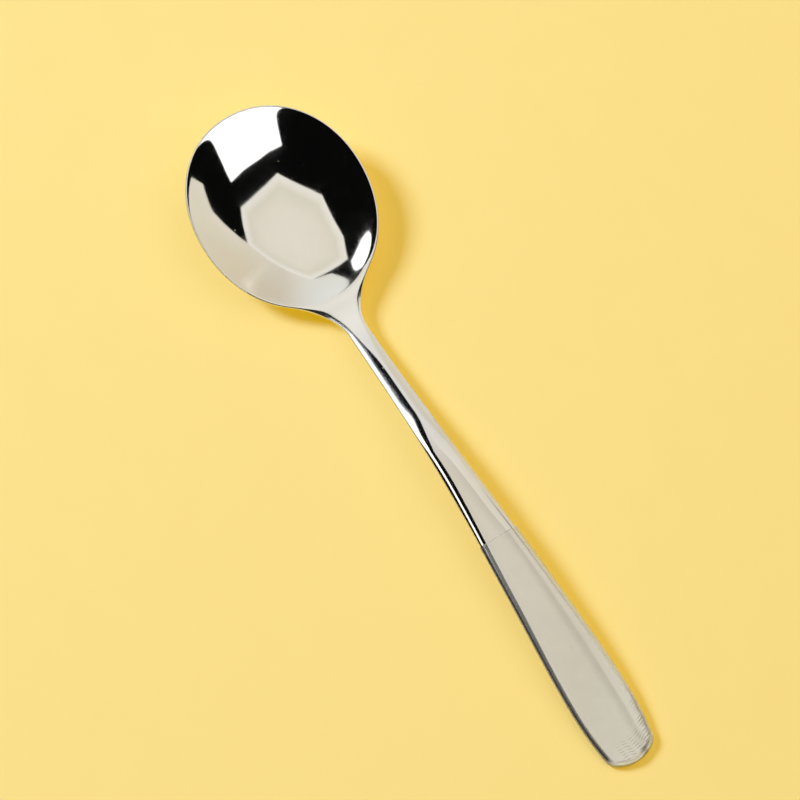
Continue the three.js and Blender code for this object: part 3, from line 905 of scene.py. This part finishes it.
def fan(count, first=0):
    """Triangles from the point after the last one of a ring to each of its sides."""
    ring = np.arange(count)
    return (first + np.stack([ring, np.roll(ring, -1), np.full(count, count)], axis=-1)).tolist()


def sheet(rows, columns):
    """Quads of a grid of points, row by row."""
    corner = (np.arange(rows - 1)[:, None] * columns + np.arange(columns - 1)).ravel()
    return np.stack([corner, corner + 1, corner + columns + 1, corner + columns], axis=-1).tolist()


# %% [markdown]
# The scrim is a sheet of cloth in a frame of seven corners. Its hem is brighter than the cloth just inside
# it, so it is made as rings from the hem to the middle, each with its own light.

# %% Scrim overhead
SCRIM_HEIGHT = 1.1
SCRIM_RINGS = [
    (1.0, (1.08, 1.05, 0.98)),
    (0.91, (1.03, 0.99, 0.89)),
    (0.80, (0.91, 0.86, 0.74)),
    (0.60, (0.98, 0.92, 0.80)),
]
SCRIM_MIDDLE_GLOW = (1.03, 0.97, 0.86)
SCRIM_CORNERS = np.array([
    (98.3, 37.6), (72.5, 46.2), (6.4, 65.2), (-92.1, 70.1), (-153, 58), (-172.4, 48.4), (148.8, 41),
])
scrim_lines = towards(*SCRIM_CORNERS.T)
scrim_points = scrim_lines * (SCRIM_HEIGHT / scrim_lines[:, 2:])
scrim_middle = scrim_points.mean(axis=0)
corners, rings = len(scrim_points), len(SCRIM_RINGS)
scrim_numbers = np.arange(rings * corners).reshape(rings, corners)
scrim_sheet = [scrim_middle + share * (scrim_points - scrim_middle) for share, _ in SCRIM_RINGS]
scrim_glow = [np.tile(glow, (corners, 1)) for _, glow in SCRIM_RINGS]
make_card(
    "scrim",
    np.concatenate([*scrim_sheet, [scrim_middle]]),
    joined(scrim_numbers[:-1], scrim_numbers[1:]).tolist() + fan(corners, (rings - 1) * corners),
    np.concatenate([*scrim_glow, [SCRIM_MIDDLE_GLOW]]),
)

# %% [markdown]
# The wall is curved round the spoon. Its top follows the edge of the scrim where the two meet and stands a
# little behind it, so that no dark gap shows between them. Its colour goes round with it, from warm on the
# right to almost white on the left; foot and top are paler, and a pale streak stands half way up.

# %% Wall behind the spoon
WALL_REACH = 1.8
WALL_TONES = [
    (83, (0.95, 0.88, 0.72)),
    (107, (0.87, 0.77, 0.58)),
    (119, (0.82, 0.74, 0.59)),
    (128, (0.80, 0.71, 0.57)),
    (146, (0.92, 0.91, 0.83)),
    (160, (0.96, 0.95, 0.88)),
]
WALL_TOP = np.array([0.98, 0.95, 0.87])
WALL_FOOT = 0.5
WALL_MIDDLE = 14
WALL_UPPER = 21
WALL_START = 66
WALL_BEND = 166
WALL_BEFORE_SEAM = np.array([(WALL_START, 25.8), (79.5, 25.9)])
WALL_OVER_SEAM = np.array([(98, 0), (100, 3), (146, 3), (149, 0), (158, -0.8), (WALL_BEND, -1.8)])
WALL_AFTER_BEND = np.array([(172, 40.5), (177, 37.5), (182, 33)])
PALE_AT_FOOT = 0.6
PALE_AT_TOP = 0.5
STREAK_TURN = 114
STREAK_WIDTH = 2.2
STREAK_GLOW = 0.28

seam = np.linspace(0, 1, 60)[:, None]
seam_points = np.concatenate([
    scrim_points[0] * (1 - seam) + scrim_points[-1] * seam,
    scrim_points[-1] * (1 - seam) + scrim_points[-2] * seam,
])
seam_turns, seam_rises = angles_of(seam_points)
wall_turns = np.concatenate([np.linspace(WALL_START, WALL_BEND, 51), WALL_AFTER_BEND[:, 0]])
top_line = np.concatenate([WALL_BEFORE_SEAM, np.column_stack([seam_turns, seam_rises])])
wall_tops = np.interp(wall_turns, *top_line.T) + np.interp(wall_turns, *WALL_OVER_SEAM.T)
wall_tops[wall_turns > WALL_BEND] = WALL_AFTER_BEND[:, 1]
wall_rows = [np.full_like(wall_turns, rise) for rise in (WALL_FOOT, WALL_MIDDLE, WALL_UPPER)] + [wall_tops]
tone_turns = [turn for turn, _ in WALL_TONES]
tone_parts = np.array([tone for _, tone in WALL_TONES]).T
wall_glow = np.stack([np.interp(wall_turns, tone_turns, part) for part in tone_parts], axis=-1)
streak = STREAK_GLOW * np.exp(-((wall_turns - STREAK_TURN) / STREAK_WIDTH) ** 2)[:, None]
make_card(
    "wall",
    WALL_REACH * np.concatenate([towards(wall_turns, row) for row in wall_rows]),
    sheet(len(wall_rows), len(wall_turns)),
    np.concatenate([
        (1 - PALE_AT_FOOT) * wall_glow + PALE_AT_FOOT * WALL_TOP,
        wall_glow + streak,
        wall_glow + 0.4 * streak,
        (1 - PALE_AT_TOP) * wall_glow + PALE_AT_TOP * WALL_TOP,
    ]),
)

# %% [markdown]
# The screen and the panel are the two bright things in the room, plain white and brighter than paper. Their
# corners are given as directions, because a mirror shows where a thing stands and not how far away it is.

# %% White screen and white panel
SCREEN_REACH = 1.7
SCREEN_GLOW = (1.8, 1.8, 1.8)
SCREEN_CORNERS = np.array([
    (53.8, 42.4), (38, 48.5), (22.9, 52.3), (5, 54), (-13, 54.4), (-10, 14), (30, 14), (36.2, 27.9),
])
screen_lines = towards(*SCREEN_CORNERS.T)
screen_points = SCREEN_REACH * np.concatenate([screen_lines, [screen_lines.mean(axis=0)]])
make_card("screen", screen_points, fan(len(SCREEN_CORNERS)), SCREEN_GLOW)

PANEL_REACH = 1.3
PANEL_GLOW = (2, 2, 2)
PANEL_TURNS = np.array([-178, -172, -160, -150, -135, -120, -105, -80, -52])
PANEL_TOPS = np.array([42, 46.5, 48.5, 49, 47, 43, 41, 40, 40])
PANEL_FEET = np.array([22, 23, 24, 24, 25, 25, 26, 26, 24])
panel_rows = [towards(PANEL_TURNS, rises) for rises in (PANEL_TOPS, PANEL_FEET)]
panel_points = PANEL_REACH * np.concatenate(panel_rows)
make_card("panel", panel_points, sheet(len(panel_rows), len(PANEL_TURNS)), PANEL_GLOW)

# %% [markdown]
# Matt surfaces, the table above all, are lit by three lights that mirrors don't show. A cool key lamp on the
# left throws the shadow to the right. A wide warm lamp overhead fills it softly. An even yellow light that
# throws no shadow reaches everywhere alike, so the shadow lacks the cool light only and turns golden on the
# table. The three together light a white surface to white. The room is dark for the mirrors, but a camera
# near the table's height sees a plain backdrop in the table's colour.

# %% Lamps and dark room
COOL = (0.39, 0.53, 1.0)
WARM = (1.0, 0.83, 0.67)
YELLOW = (1.0, 0.83, 0.0)
EVEN_POWER = 1.22
DARK = (0.003, 0.003, 0.003, 1)


def hide_from_mirrors(lamp):
    """Keeps a lamp out of mirrors and of the picture, and puts it in the scene."""
    lamp.visible_camera = False
    lamp.visible_glossy = False
    bpy.context.collection.objects.link(lamp)


def make_lamp(name, direction, distance, size, colour, power):
    """A square lamp at a distance in a direction from the bowl, turned to it; power in watts."""
    lamp = bpy.data.objects.new(name, bpy.data.lights.new(name, "AREA"))
    lamp.data.size = size
    lamp.data.color = colour
    lamp.data.energy = power
    lamp.location = (BOWL_PLACE + distance * direction).tolist()
    lamp.rotation_mode = "QUATERNION"
    lamp.rotation_quaternion = Vector((-direction).tolist()).to_track_quat("-Z", "Y")
    hide_from_mirrors(lamp)
    return lamp


key_lamp = make_lamp("key_lamp", towards(-140, 35), distance=2.0, size=0.55, colour=COOL, power=55.0)
fill_lamp = make_lamp("fill_lamp", towards(90, 66), distance=1.5, size=2.1, colour=WARM, power=12.0)
even_light = bpy.data.objects.new("even_light", bpy.data.lights.new("even_light", "SUN"))
even_light.data.color = YELLOW
even_light.data.energy = EVEN_POWER
even_light.data.use_shadow = False
hide_from_mirrors(even_light)

room = bpy.data.worlds.new("dark_room")
room.use_nodes = True
tree = room.node_tree
ray = place(tree, "ShaderNodeLightPath").outputs
backdrop = blended(tree, ray["Is Camera Ray"], DARK, TABLE_COLOUR)
tree.links.new(backdrop, tree.nodes["Background"].inputs["Color"])
bpy.context.scene.world = room
print("lamps:", key_lamp.data.energy, "W and", fill_lamp.data.energy, "W, even light:", EVEN_POWER)
